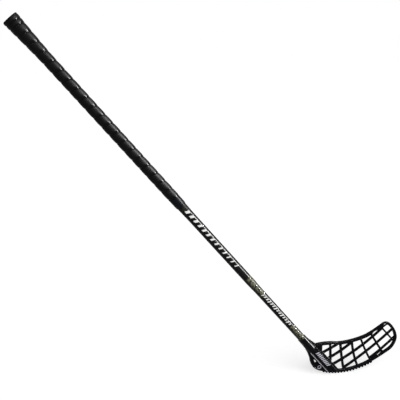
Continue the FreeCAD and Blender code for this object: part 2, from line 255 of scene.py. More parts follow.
def lacquered_composite(look):
    """Fibre-composite tube, printed and clear-lacquered.

    The wet lacquer gives one sharp line of light over near-black; under it lie faint streaks
    of fibre, cloudy olive-grey patches with painted shade darkening them round one side, a run
    of slanted white bars and a scale of fine ticks.
    """
    # Print in millimetres: steps, runs down from the butt, and rows round from the front
    bar_step, bars_run, bars_row = 14.8, (627.5, 95.5), (1.9, 4.6)
    tick_step, ticks_run, ticks_middle = 8.2, (869, 56), 1.7
    tick_half, longer_by = 2.8, 1.6
    # Inked shares of a step: the first bar, the last bar and each tick
    first_bar_share, last_bar_share, tick_share = 0.5, 0.178, 0.45
    # Runs of the patches, and where round the shaft their painted shade is darkest and where it
    # ends
    upper_run, lower_run, dim_run = (786, 31), (958, 26), (516, 18)
    shade_darkest_at, shade_gone_at = -9, 7
    # Patterns: clouds, the rags they tear from a patch's ends, blotches, orange peel, and streaks
    # of fibre, drawn wider than fibres so that they show
    cloud_mm, rag_mm, blotch_mm, peel_mm = 9, 26, 4.5, 3
    fibre_mm, fibre_length_mm = 0.5, 50

    material, tree, spot = new_material("lacquered_composite")
    wrap = add(tree, "UVMap", uv_map="wrap")
    around, down = add(tree, "SeparateXYZ", wrap).outputs[:2]

    # The print comes twice round the shaft, once for each side of the blade.
    half_girth = math.pi * look.girth_radius / MM / 2
    around = add(tree, "Math", around, half_girth, -half_girth, operation="WRAP")
    slanted = add(tree, "Math", around, -SLANT, down, operation="MULTIPLY_ADD")

    # Slanted bars, each thinner than the one above it
    bars_middle, bars_half = bars_run
    bar_share = add(tree, "MapRange", slanted, bars_middle - bars_half, bars_middle + bars_half,
                    first_bar_share, last_bar_share)
    bars = strokes(tree, slanted, around, bar_step, bar_share, bars_run, bars_row)

    # A scale of fine ticks, every third one longer
    tick_number = add(tree, "Math", slanted, 1 / tick_step, operation="MULTIPLY")
    tick_number = add(tree, "Math", tick_number, operation="FLOOR")
    tick_third = add(tree, "Math", tick_number, 3, operation="MODULO")
    tick_long = add(tree, "Math", tick_third, 0.5, operation="LESS_THAN")
    tick_reach = add(tree, "Math", tick_long, longer_by, tick_half, operation="MULTIPLY_ADD")
    ticks = strokes(tree, slanted, around, tick_step, tick_share, ticks_run,
                    (ticks_middle, tick_reach))

    # Cloudy patches: clouds break their ends, and blotches darken them
    cloud = add(tree, "TexNoise", {"Vector": spot, "Scale": 1 / (cloud_mm * MM), "Detail": 2,
                                   "Distortion": 0.6})
    ragged = add(tree, "Math", cloud, rag_mm, -rag_mm / 2, operation="MULTIPLY_ADD")
    ragged = add(tree, "Math", ragged, down, operation="ADD")
    upper, lower, dim = (add(tree, "Math", ragged, *run, operation="COMPARE")
                         for run in (upper_run, lower_run, dim_run))
    patches = add(tree, "Math", upper, lower, operation="MAXIMUM")
    blotch = add(tree, "TexNoise", {"Vector": spot, "Scale": 1 / (blotch_mm * MM), "Detail": 2,
                                    "Distortion": 0.8})
    blotch = add(tree, "MapRange", blotch, 0.44, 0.54)
    # Painted shade: the patches darken towards one side of the shaft, as if lit from the other.
    patch_shading = add(tree, "MapRange", around, shade_darkest_at, shade_gone_at, 0.02, 1,
                  interpolation_type="SMOOTHSTEP")
    patch_shading = add(tree, "Math", patch_shading, blotch, operation="MULTIPLY")

    # Colours: streaks of fibre along the tube, with the patches and the print over them
    lengthwise = add(tree, "Mapping", {"Vector": wrap,
                                       "Scale": (1 / fibre_mm, 1 / fibre_length_mm, 1)})
    fibre = add(tree, "TexNoise", {"Vector": lengthwise, "Scale": 1, "Detail": 3})
    colour = add(tree, "Mix", fibre, linear(0x050506), opaque(look.colour))
    dull = add(tree, "Mix", blotch, linear(0x0b0b08), linear(0x282823))
    # The patches' colour runs from near-black in the painted shade to their own colour on the lit
    # side.
    olive = add(tree, "Mix", patch_shading, linear(0x0b0b09), opaque(look.patch_colour))
    white = opaque(look.bar_colour)
    for mask, layer in ((dim, dull), (patches, olive), (bars, white), (ticks, white)):
        colour = add(tree, "Mix", mask, colour, layer)

    # Lacquer flows out with a slight orange peel.
    peel = add(tree, "TexNoise", {"Vector": spot, "Scale": 1 / (peel_mm * MM), "Detail": 1})
    skin = add(tree, "Bump", {"Strength": 0.15, "Distance": 0.02 * MM, "Height": peel})
    # A matt film covers the first stretch below the grip.
    gloss = add(tree, "MapRange", dim, 0, 1, 0.075, 0.002)
    shader = add(tree, "BsdfPrincipled", {
        "Base Color": colour, "Roughness": 0.45, "IOR": 1.5, "Specular IOR Level": 0.02,
        "Coat Weight": gloss, "Coat Roughness": 0.05, "Coat IOR": 1.5, "Coat Normal": skin})
    add(tree, "OutputMaterial", {"Surface": shader})
    return material


def perforated_polyurethane(look):
    """Polyurethane grip tape with a pressed leather grain and rows of punched holes.

    The skin is matt, so light spreads over it in a broad soft band, and the holes show as
    fine dark dots along each turn.
    """
    # Sizes in millimetres: the holes' step along a row, the rows' step across the tape, the radii
    # at which a hole's edge starts and ends, the grain, and the worn areas
    hole_step, row_step = 4.6, 3.4
    edge_radius, floor_radius = 0.55, 0.35
    grain_mm, wear_mm = 0.9, 14
    # Distances from the upper edge of a turn between which the holes and the grain run out
    plain_start, plain_end = 15.5, 19.5
    # Depth of a hole, in depths of the grain
    hole_depth = 3

    material, tree, spot = new_material("perforated_polyurethane")
    strip = add(tree, "UVMap", uv_map="strip")
    along, across = add(tree, "SeparateXYZ", strip).outputs[:2]

    # Rows of holes, every other row shifted by half a step
    row = add(tree, "Math", across, 1 / row_step, operation="MULTIPLY")
    row_number = add(tree, "Math", row, operation="FLOOR")
    shift = add(tree, "Math", row_number, 0.5, operation="MULTIPLY")
    column = add(tree, "Math", along, 1 / hole_step, shift, operation="MULTIPLY_ADD")
    row = add(tree, "Math", row, 0.5, -0.5, operation="WRAP")
    column = add(tree, "Math", column, 0.5, -0.5, operation="WRAP")
    cell = add(tree, "CombineXYZ", column, row)
    cell = add(tree, "VectorMath", cell, (hole_step, row_step, 0), operation="MULTIPLY")
    reach = add(tree, "VectorMath", cell, operation="LENGTH")
    hole = add(tree, "MapRange", reach, edge_radius, floor_radius)

    # The lower edge of each turn is plain, stretched over the one below it and rubbed smooth.
    pressed = add(tree, "MapRange", across, plain_start, plain_end, 1, 0)
    hole = add(tree, "Math", hole, pressed, operation="MULTIPLY")
    grain = add(tree, "TexVoronoi", {"Vector": spot, "Scale": 1 / (grain_mm * MM)},
                feature="SMOOTH_F1")
    wear = add(tree, "TexNoise", {"Vector": spot, "Scale": 1 / (wear_mm * MM), "Detail": 3})
    height = add(tree, "Math", hole, -hole_depth, grain, operation="MULTIPLY_ADD")
    height = add(tree, "Math", height, pressed, operation="MULTIPLY")
    skin = add(tree, "Bump", {"Strength": 0.3, "Distance": 0.12 * MM, "Height": height})
    tone = add(tree, "Mix", wear, linear(0x08080a), opaque(look.colour))
    tone = add(tree, "Mix", hole, tone, linear(0x030303))
    matt = add(tree, "MapRange", wear, 0.3, 0.7, 0.43, 0.5)
    rough = add(tree, "MapRange", pressed, 0, 1, 0.22, matt)
    shader = add(tree, "BsdfPrincipled", {
        "Base Color": tone, "Roughness": rough, "IOR": 1.5, "Specular IOR Level": 0.033,
        "Normal": skin})
    add(tree, "OutputMaterial", {"Surface": shader})
    return material


def stretched_vinyl():
    """Soft vinyl tape, stretched as it is wound: satin, with faint ripples along its pull."""
    ripple_length_mm, ripple_mm = 12.5, 1.111
    material, tree, _ = new_material("stretched_vinyl")
    around = add(tree, "Mapping", {"Vector": add(tree, "UVMap", uv_map="wrap"),
                                   "Scale": (1 / ripple_length_mm, 1 / ripple_mm, 1)})
    ripple = add(tree, "TexNoise", {"Vector": around, "Scale": 1, "Detail": 2})
    skin = add(tree, "Bump", {"Strength": 0.4, "Distance": 0.1 * MM, "Height": ripple})
    tone = add(tree, "Mix", ripple, linear(0x0a0b0e), linear(0x111318))
    shader = add(tree, "BsdfPrincipled", {
        "Base Color": tone, "Roughness": 0.36, "IOR": 1.5, "Specular IOR Level": 0.026,
        "Normal": skin})
    add(tree, "OutputMaterial", {"Surface": shader})
    return material


def panel_print(tree, spot):
    """Mask of the slanted dashes that are printed along the front of the hosel's panel."""
    # The dashes' step, inked share, run down from the butt and row across the panel, and the
    # depth that the print lies before
    step, inked_share = 6.2 * MM, 0.55
    run, row = (1056 * MM, 29 * MM), (4 * MM, 4.2 * MM)
    front = -4.5 * MM
    turn = add(tree, "Mapping", {"Vector": spot, "Rotation": (0, -TILT, 0)})
    side, depth, height = add(tree, "SeparateXYZ", turn).outputs
    down = add(tree, "Math", height, -1, BUTT, operation="MULTIPLY_ADD")
    slanted = add(tree, "Math", side, -SLANT, down, operation="MULTIPLY_ADD")
    dashes = strokes(tree, slanted, side, step, inked_share, run, row)
    ahead = add(tree, "Math", depth, front, operation="LESS_THAN")
    return add(tree, "Math", dashes, ahead, operation="MULTIPLY")


def moulded_polyethylene(name, colour, grain_mm, rough, shine=0.03, printed=False):
    """Injection-moulded plastic with the mould's fine spark-eroded grain, satin all over.

    The melt's flow leaves slow waves of tone and gloss.
    """
    flow_mm, flow_rough = 25, 0.08
    material, tree, spot = new_material(name)
    flow = add(tree, "TexNoise", {"Vector": spot, "Scale": 1 / (flow_mm * MM), "Detail": 2})
    grain = add(tree, "TexNoise", {"Vector": spot, "Scale": 1 / (grain_mm * MM), "Detail": 2})
    skin = add(tree, "Bump", {"Strength": 0.25, "Distance": 0.05 * MM, "Height": grain})
    tone = add(tree, "Mix", flow, linear(0x030305), colour)
    if printed:
        tone = add(tree, "Mix", panel_print(tree, spot), tone, linear(0xc4c4cc))
    gloss = add(tree, "MapRange", flow, 0.3, 0.7, rough, rough + flow_rough)
    shader = add(tree, "BsdfPrincipled", {
        "Base Color": tone, "Roughness": gloss, "IOR": 1.51, "Specular IOR Level": shine,
        "Normal": skin})
    add(tree, "OutputMaterial", {"Surface": shader})
    return material


def highlight_painted_polyethylene(look):
    """The blade's plastic on the heel's ridge and boss ring, with a painted highlight.

    The painted highlight is pale and dull, in streaks with darker plastic left between them.
    """
    streak_mm, scratch_mm = 7, 0.6
    material, tree, spot = new_material("highlight_painted_polyethylene")
    # Pale streaks painted on as a highlight
    highlight_streaks = add(tree, "TexNoise", {"Vector": spot, "Scale": 1 / (streak_mm * MM), "Detail": 4})
    highlight_streaks = add(tree, "MapRange", highlight_streaks, 0.3, 0.52)
    scratch = add(tree, "TexNoise", {"Vector": spot, "Scale": 1 / (scratch_mm * MM),
                                     "Detail": 2})
    skin = add(tree, "Bump", {"Strength": 0.3, "Distance": 0.05 * MM, "Height": scratch})
    tone = add(tree, "Mix", highlight_streaks, linear(0x3a3a40), opaque(look.painted_highlight_colour))
    rough = add(tree, "MapRange", highlight_streaks, 0, 1, 0.3, 0.5)
    shader = add(tree, "BsdfPrincipled", {
        "Base Color": tone, "Roughness": rough, "IOR": 1.51, "Specular IOR Level": 0.06,
        "Normal": skin})
    add(tree, "OutputMaterial", {"Surface": shader})
    return material


def closed_cell_foam():
    """Dark closed-cell foam: dull, with pores of about a millimetre."""
    pore_mm = 1.2
    material, tree, spot = new_material("closed_cell_foam")
    pores = add(tree, "TexVoronoi", {"Vector": spot, "Scale": 1 / (pore_mm * MM)})
    skin = add(tree, "Bump", {"Strength": 0.6, "Distance": 0.2 * MM, "Height": pores})
    tone = add(tree, "Mix", pores, linear(0x1c1c1c), linear(0x3a3a3a))
    shader = add(tree, "BsdfPrincipled", {
        "Base Color": tone, "Roughness": 0.9, "Normal": skin})
    add(tree, "OutputMaterial", {"Surface": shader})
    return material


def amber_hot_melt():
    """Hot-melt glue: a waxy amber film that light enters, with slow waves from its flow."""
    wave_mm, depth_mm = 6, 2
    material, tree, spot = new_material("amber_hot_melt")
    wave = add(tree, "TexNoise", {"Vector": spot, "Scale": 1 / (wave_mm * MM), "Detail": 2})
    skin = add(tree, "Bump", {"Strength": 0.3, "Distance": 0.1 * MM, "Height": wave})
    tone = add(tree, "Mix", wave, linear(0x9c7a44), linear(0xc7ab78))
    shader = add(tree, "BsdfPrincipled", {
        "Base Color": tone, "Roughness": 0.3, "IOR": 1.48, "Subsurface Weight": 0.3,
        "Subsurface Scale": depth_mm * MM, "Normal": skin})
    add(tree, "OutputMaterial", {"Surface": shader})
    return material


def zinc_plated_steel():
    """Turned steel with a bright zinc plating, whose crystals leave it slightly cloudy."""
    cloud_mm = 1.5
    material, tree, spot = new_material("zinc_plated_steel")
    cloud = add(tree, "TexNoise", {"Vector": spot, "Scale": 1 / (cloud_mm * MM), "Detail": 3})
    tone = add(tree, "Mix", cloud, linear(0x8d9093), linear(0xc3c6c9))
    rough = add(tree, "MapRange", cloud, 0.3, 0.7, 0.22, 0.4)
    shader = add(tree, "BsdfPrincipled", {
        "Base Color": tone, "Metallic": 1, "Roughness": rough})
    add(tree, "OutputMaterial", {"Surface": shader})
    return material


class StickShaftLook(bpy.types.PropertyGroup):
    """Sizes and colours of the shaft."""

    grip_radius: FloatProperty(
        name="Grip radius", description="Outer radius under the grip", default=10.9 * MM,
        unit="LENGTH")
    girth_radius: FloatProperty(
        name="Middle radius", description="Outer radius of the bare middle",
        default=10.25 * MM, unit="LENGTH")
    lower_radius: FloatProperty(
        name="Lower radius", description="Outer radius above the blade", default=9.25 * MM,
        unit="LENGTH")
    wall: FloatProperty(
        name="Wall", description="Thickness of the tube's wall", default=1.6 * MM,
        unit="LENGTH")
    upper_taper: FloatProperty(
        name="Upper taper", description="Length of the taper below the grip",
        default=40 * MM, unit="LENGTH")
    lower_taper_at: FloatProperty(
        name="Lower taper at", description="Distance of the lower taper from the butt",
        default=770 * MM, unit="LENGTH")
    lower_taper: FloatProperty(
        name="Lower taper", description="Length of the lower taper", default=36 * MM,
        unit="LENGTH")
    colour: FloatVectorProperty(
        name="Shaft colour", description="Colour of the composite under the lacquer",
        default=linear(0x0c0c0e)[:3], subtype="COLOR", size=3)
    patch_colour: FloatVectorProperty(
        name="Patch colour", description="Colour of the cloudy patches",
        default=linear(0x8f8f7a)[:3], subtype="COLOR", size=3)
    bar_colour: FloatVectorProperty(
        name="Bar colour", description="Colour of the slanted bars and the ticks",
        default=linear(0xf2f2f0)[:3], subtype="COLOR", size=3)


class StickGripLook(bpy.types.PropertyGroup):
    """Sizes and colours of the wound grip."""

    pitch: FloatProperty(
        name="Pitch", description="Distance from one turn of the tape to the next",
        default=23.9 * MM, unit="LENGTH")
    seam: FloatProperty(
        name="Seam", description="Width of the groove between two turns", default=0.3 * MM,
        unit="LENGTH")
    first_seam: FloatProperty(
        name="First even seam", description="Distance of the first evenly spaced seam from "
        "the butt, on the stick's front", default=40.2 * MM, unit="LENGTH")
    flare: FloatProperty(
        name="Flare", description="Height of the former under the tape at the butt",
        default=4.35 * MM, unit="LENGTH")
    steps: IntProperty(
        name="Steps", description="Faces round each turn", default=64, min=12)
    colour: FloatVectorProperty(
        name="Grip colour", description="Colour of the tape", default=linear(0x121213)[:3],
        subtype="COLOR", size=3)


class StickBladeLook(bpy.types.PropertyGroup):
    """Sizes and colours of the blade."""

    voxel: FloatProperty(
        name="Voxel", description="Fineness of the moulded surface", default=0.45 * MM,
        unit="LENGTH")
    fill: FloatProperty(
        name="Fill", description="How far the ribs swell past the plain solid",
        default=0.55 * MM, unit="LENGTH")
    toe_fill: FloatProperty(
        name="Toe fill", description="How much further the short ribs across the toe swell",
        default=0.35 * MM, unit="LENGTH")
    collar_radius: FloatProperty(
        name="Collar radius", description="Outer radius of the collar", default=10.6 * MM,
        unit="LENGTH")
    hosel_radius: FloatProperty(
        name="Hosel radius", description="Outer radius where the hosel is fullest",
        default=11.8 * MM, unit="LENGTH")
    colour: FloatVectorProperty(
        name="Blade colour", description="Colour of the blade's plastic",
        default=linear(0x09090e)[:3], subtype="COLOR", size=3)
    # Pale colour of the painted highlight on the heel's ridge and boss ring
    painted_highlight_colour: FloatVectorProperty(
        name="Scuff colour", description="Colour of the plastic where it is rubbed",
        default=linear(0xbcbcc4)[:3], subtype="COLOR", size=3)


class StickStageLook(bpy.types.PropertyGroup):
    """Camera and light."""

    eye: FloatVectorProperty(
        name="Camera place", description="Where the camera stands",
        default=(0.0278, -1.3278, 0.0225), subtype="TRANSLATION", size=3)
    heading: FloatProperty(
        name="Heading", description="Camera's turn about the vertical",
        default=math.radians(-12.559), subtype="ANGLE")
    dip: FloatProperty(
        name="Dip", description="How far the camera looks down", default=math.radians(14.153),
        subtype="ANGLE")
    view_angle: FloatProperty(
        name="View angle", description="Width of the camera's view",
        default=math.radians(35), subtype="ANGLE")
    strip_power: FloatProperty(
        name="Strip light", description="Power of the strip light that draws the gloss",
        default=600, unit="POWER")
    key_strength: FloatProperty(
        name="Key light", description="Strength of the soft key light", default=2)


class STICK_OT_shaft(bpy.types.Operator):
    """Turn the tapered shaft and lacquer it"""

    bl_idname = "stick.shaft"
    bl_label = "Shaft"

    # Rings that draw each taper
    taper_steps = 10

    def execute(self, context):
        look = context.scene.stick_shaft
        start, end = span("shaft_tube")
        grip_end = span("finishing_tape")[1]
        tapers = (
            (grip_end, look.upper_taper, look.grip_radius, look.girth_radius),
            (look.lower_taper_at, look.lower_taper, look.girth_radius, look.lower_radius))
        outside = [(look.grip_radius, start)]
        for at, length, wide, narrow in tapers:
            for step in range(self.taper_steps + 1):
                share = step / self.taper_steps
                outside.append((eased(wide, narrow, share), at + length * share))
        outside.append((look.lower_radius, end))
        inside = [(radius - look.wall, down) for radius, down in reversed(outside)]
        bm = turned(outside + inside)
        wrap_map(bm, look.girth_radius)
        shaft_piece("shaft", bm, lacquered_composite(look), "shaft_lacquer", "shaft_tube")
        return {"FINISHED"}


class STICK_OT_grip(bpy.types.Operator):
    """Wind the grip tape over the flared butt and close it with the finishing band"""

    bl_idname = "stick.grip"
    bl_label = "Grip"

    # The tape's section: share of its width from its upper edge, and millimetres over the shaft
    section = ((0, 0.95), (0.025, 1.2), (0.07, 1.42), (0.14, 1.62), (0.23, 1.79), (0.36, 1.93),
               (0.52, 2.03), (0.68, 2.06), (0.8, 2.01), (0.88, 1.87), (0.94, 1.63),
               (0.975, 1.36), (1, 0.95), (1, 0.05), (0, 0.05))
    # Seams of the crowded first turns on the front, in millimetres from the butt
    crowded = (0.6, 11, 20.8)
    # The tape bridges the step at the former's end over this length, in a hollow curve.
    bridge, hollow = 15 * MM, 1.35

    def execute(self, context):
        look = context.scene.stick_grip
        shaft = context.scene.stick_shaft
        start, end = span("grip_tape")
        early = len(self.crowded)
        turns = math.ceil((end - start) / look.pitch) + early + 1
        width = look.pitch - look.seam
        # The front lies three quarters of a turn past the spin's start.
        top = look.first_seam - (early + 0.75) * look.pitch
        bm = bmesh.new()
        points = [bm.verts.new((shaft.grip_radius + height * MM, 0, BUTT - top - share * width))
                  for share, height in self.section]
        edges = [bm.edges.new(pair) for pair in zip(points, points[1:] + points[:1])]
        bmesh.ops.spin(bm, geom=points + edges, cent=(0, 0, 0), axis=(0, 0, 1),
                       dvec=(0, 0, -look.pitch / look.steps), angle=turns * math.tau,
                       steps=turns * look.steps, use_merge=False)
        bmesh.ops.recalc_face_normals(bm, faces=bm.faces)
        self.strip_map(bm, look, top, math.tau * shaft.grip_radius)
        self.draw_together(bm, look)
        for down, normal in ((start, 1), (end, -1)):
            cut = bmesh.ops.bisect_plane(
                bm, geom=bm.verts[:] + bm.edges[:] + bm.faces[:], dist=MERGE,
                plane_co=(0, 0, BUTT - down), plane_no=(0, 0, normal), clear_outer=True)
            rim = [edge for edge in cut["geom_cut"] if isinstance(edge, bmesh.types.BMEdge)]
            bmesh.ops.holes_fill(bm, edges=rim, sides=0)
        self.flare_out(bm, look)
        bmesh.ops.recalc_face_normals(bm, faces=bm.faces)
        shaft_piece("grip_wrap", bm, perforated_polyurethane(look), "grip_polyurethane",
                    "grip_tape", crease=60)
        self.band(shaft)
        return {"FINISHED"}

    def strip_map(self, bm, look, top, girth):
        """Lay a UV map of millimetres along the tape and across it from its upper edge."""
        layer = bm.loops.layers.uv.new("strip")

        def turns_down(spot, angle):
            return (BUTT - top - spot.z) / look.pitch - angle / math.tau

        for face in bm.faces:
            middle = face.calc_center_median()
            angle = math.atan2(middle.y, middle.x)
            turn = math.floor(turns_down(middle, angle))
            for loop in face.loops:
                spot = loop.vert.co
                own = math.atan2(spot.y, spot.x)
                own += math.tau * round((angle - own) / math.tau)
                across = (turns_down(spot, own) - turn) * look.pitch
                loop[layer].uv = ((turn + own / math.tau) * girth / MM, across / MM)

    def draw_together(self, bm, look):
        """Crowd the first turns together, as a grip is started at the butt."""
        seams = [place * MM for place in self.crowded] + [look.first_seam]
        early = len(self.crowded)
        for corner in bm.verts:
            turn = (BUTT - corner.co.z - look.first_seam) / look.pitch + early
            if turn < early:
                above = max(0, math.floor(turn))
                down = seams[above] + (turn - above) * (seams[above + 1] - seams[above])
                corner.co.z = BUTT - down

    def flare_out(self, bm, look):
        """Raise the tape over the former, which swells towards the butt."""
        former_start, former_end = span("knob_former")
        bridged = former_end + self.bridge
        for corner in bm.verts:
            share = (bridged - (BUTT - corner.co.z)) / (bridged - former_start)
            lift = look.flare * min(1, max(0, share)) ** self.hollow
            radius = corner.co.xy.length
            corner.co.xy *= (radius + lift) / radius

    def band(self, shaft):
        """Wind the finishing band that holds the tape's end, with a low step near each edge."""
        start, end = span("finishing_tape")
        clearance, thickness, bend = 0.05 * MM, 1.4 * MM, 0.35 * MM
        lap, step = 2.2 * MM, 0.22 * MM
        inner = shaft.grip_radius + clearance
        outer = inner + thickness
        edge = outer - step
        profile = [(inner, start), *rounded(edge - bend, start + bend, bend, 0),
                   (edge, start + lap), (outer, start + lap + bend),
                   (outer, end - lap - bend), (edge, end - lap),
                   *rounded(edge - bend, end - bend, bend, -90), (inner, end)]
        bm = turned(profile)
        wrap_map(bm, shaft.grip_radius)
        shaft_piece("grip_finish", bm, stretched_vinyl(), "finish_tape", "finishing_tape")


class STICK_OT_butt(bpy.types.Operator):
    """Make the butt cap and dress the former under the grip"""

    bl_idname = "stick.butt"
    bl_label = "Butt"

    def execute(self, context):
        shaft = context.scene.stick_shaft
        start, end = span("end_cap")
        former = span("knob_former")[0]
        # The rim and its seat on the former
        rim, bend, chamfer, seat = 16.7 * MM, 2.2 * MM, 0.4 * MM, former - 0.05 * MM
        # The dish in the face: its flat floor, the two slopes of its edge and the depths there
        dish, slope, dish_depth, slope_depth = 8.6 * MM, 0.8 * MM, 0.7 * MM, 0.15 * MM
        # The hollow spigot: its clearance in the tube, tapered end, wall and closing web
        fit, lead, lead_length, wall, web = 0.1 * MM, 1 * MM, 1.5 * MM, 2.4 * MM, 3 * MM
        plug = shaft.grip_radius - shaft.wall - fit
        profile = [(0, start + dish_depth), (dish, start + dish_depth),
                   (dish + slope, start + slope_depth), (dish + 2 * slope, start),
                   *rounded(rim - bend, start + bend, bend, 0), (rim, former - chamfer),
                   (rim - chamfer, seat), (plug, seat), (plug, end - lead_length),
                   (plug - lead, end), (plug - wall, end), (plug - wall, former + web),
                   (0, former + web)]
        plastic = moulded_polyethylene("grained_polypropylene", linear(0x0d0d0e), grain_mm=0.8,
                                       rough=0.6)
        shaft_piece("butt_cap", turned(profile), plastic, "cap_plastic", "end_cap")
        dress_node("knob_former", closed_cell_foam())
        return {"FINISHED"}


class STICK_OT_blade(bpy.types.Operator):
    """Round the blade's moulded edges and add its crisp collar, heel ridge and boss ring"""

    bl_idname = "stick.blade"
    bl_label = "Blade"

    # Narrow slits beside the ribs: corners, across and up from the shaft's foot in millimetres
    slits = (((95.4, 95), (95, 102.2), (100.7, 106.9), (110.6, 112), (101.7, 98.7)),
             ((108.2, 37.2), (111.6, 43), (118.8, 49.2), (124.4, 51.4), (121.9, 45.4),
              (114.8, 39.3)),
             ((121.2, 118.6), (122.5, 124.5), (125.5, 127.1), (131, 127.9), (130.3, 123.8)),
             ((-11.6, 73.5), (-11.6, 81.4), (-1.5, 81.4), (-4.5, 77.5)))
    # How far the slits' cutters reach behind the blade and before it
    slit_reach = 30 * MM
    # Where the fill of the ribs starts and over what length it grows to its full, in millimetres:
    # past the panel from the shaft's axis, over the sole, and towards the toe from the foot
    past_panel = (12, 4)
    over_sole = (6, 8)
    towards_toe = (82, 12)
    # Direction in the blade's plane that is square to the short ribs across the toe
    rib_normal = Vector((0.8, 0, 0.6))
    # Rings that draw the hosel's sleeve
    sleeve_steps = 8
    # Section of the heel's ridge: side from the axis and depth from its front line, in millimetres
    ridge_section = ((-9.5, 0.5), (-9.3, -1.2), (-8.9, -1.7), (-6.5, 0.1), (-6.5, 0.5))
    # Section of the boss ring: radius and depth from the heel's face, in millimetres
    boss_section = ((3.1, 0.9), (3.1, -0.4), (3.9, -1.2), (4.2, -1.3), (4.5, -1.2), (5.6, -0.1),
                    (5.6, 0.9))

    def execute(self, context):
        look = context.scene.stick_blade
        plastic = moulded_polyethylene("moulded_polyethylene", opaque(look.colour), grain_mm=0.9,
                                       rough=0.22, printed=True)
        bm = bmesh.new()
        bm.from_mesh(frame["nodes"]["blade"].data)
        bmesh.ops.remove_doubles(bm, verts=bm.verts, dist=MERGE)
        lattice = new_piece("blade_lattice", bm, plastic, "blade_plastic", "blade")
        self.soften(lattice, look)
        # The mould is polished round the hosel, which draws a brighter line of light there.
        self.collar(look, moulded_polyethylene("polished_polyethylene", opaque(look.colour),
                                               grain_mm=2.5, rough=0.18, shine=0.045))
        # The ridge and the boss ring get a pale painted highlight.
        highlighted_plastic = highlight_painted_polyethylene(look)
        self.ridge(highlighted_plastic)
        self.boss(highlighted_plastic)
        return {"FINISHED"}

    def soften(self, lattice, look):
        """Fuse the solid into one skin, round its edges as a mould does, and fill out its ribs."""
        slits = lattice.modifiers.new("slits", "BOOLEAN")
        slits.object, slits.operation = self.slit_cutter(), "DIFFERENCE"
        fuse = lattice.modifiers.new("fuse", "REMESH")
        fuse.mode, fuse.voxel_size = "VOXEL", look.voxel
        ease = lattice.modifiers.new("ease", "SMOOTH")
        ease.factor, ease.iterations = 0.5, 2
        thin = lattice.modifiers.new("thin", "DECIMATE")
        thin.ratio = 0.3
        shown = lattice.evaluated_get(bpy.context.evaluated_depsgraph_get())
        lattice.data = bpy.data.meshes.new_from_object(shown)
        bpy.data.objects.remove(slits.object)
        lattice.modifiers.clear()
        lattice.data.shade_smooth()

        def grown(distance, start, length):
            return min(1, max(0, (distance / MM - start) / length))

        normals = [corner.normal.copy() for corner in lattice.data.vertices]
        for corner, normal in zip(lattice.data.vertices, normals):
            spot = corner.co
            swell = look.fill * min(grown(SIDE.dot(spot), *self.past_panel),
                                    grown(spot.z - FLOOR_Z, *self.over_sole))
            across_rib = normal.dot(self.rib_normal) ** 2
            swell += look.toe_fill * grown(spot.x - FOOT_X, *self.towards_toe) * across_rib
            corner.co = spot + normal * swell

    def slit_cutter(self):
        """Make the prisms that cut the slits, from before the blade to behind it."""
        bm = bmesh.new()
        for corners in self.slits:
            extruded(bm, [(FOOT_X + across * MM, -self.slit_reach, FLOOR_Z + up * MM)
                          for across, up in corners], (0, 2 * self.slit_reach, 0))
        return mesh_object("slit_cutter", bm)

    def collar(self, look, plastic):
        """Turn the collar ring and the tapering sleeve of the hosel below it."""
        top = span("blade")[0]
        ring, groove, taper, tail = 7 * MM, 0.45 * MM, 41 * MM, 3 * MM
        bend, bore, shoulder = 0.5 * MM, 9.4 * MM, 0.1 * MM
        radius = look.collar_radius
        neck, neck_at = radius + shoulder, top + ring + 2 * groove
        profile = [(bore, top), *rounded(radius - bend, top + bend, bend, 0),
                   (radius, top + ring - groove), (radius - groove, top + ring),
                   (radius - groove, top + ring + groove), (neck, neck_at)]
        for step in range(1, self.sleeve_steps + 1):
            share = step / self.sleeve_steps
            profile.append((eased(neck, look.hosel_radius, share),
                            neck_at + (taper - ring) * share))
        profile += [(look.hosel_radius - bend, top + taper + tail), (bore, top + taper + tail)]
        shaft_piece("hosel_collar", turned(profile), plastic, "blade_plastic", "blade")

    def ridge(self, plastic):
        """Run a crisp ridge with one sloping flank down the heel side of the panel."""
        high, low = 96.6 * MM, 17.6 * MM
        front_high, front_low = -10.8 * MM, -5.5 * MM
        edge = 0.2 * MM
        bm = bmesh.new()
        extruded(bm, [(side * MM, front_high + depth * MM, SOLE + high)
                      for side, depth in self.ridge_section],
                 (0, front_low - front_high, low - high))
        bmesh.ops.bevel(bm, geom=bm.edges[:], offset=edge, affect="EDGES", segments=2,
                        profile=0.5, material=-1)
        shaft_piece("heel_ridge", bm, plastic, "blade_plastic", "blade")

    def boss(self, plastic):
        """Turn the chamfered ring that stands round the sunk middle of the heel's boss."""
        side, up, face = -16.5 * MM, 43.8 * MM, -3 * MM
        bm = turned([(radius * MM, depth * MM) for radius, depth in self.boss_section])
        forward = Matrix.Rotation(math.pi / 2, 4, "X") @ Matrix.Translation((0, 0, -BUTT))
        place = Matrix.Translation((side, face, SOLE + up)) @ forward
        bmesh.ops.transform(bm, matrix=place, verts=bm.verts)
        shaft_piece("heel_boss", bm, plastic, "blade_plastic", "blade", crease=60)


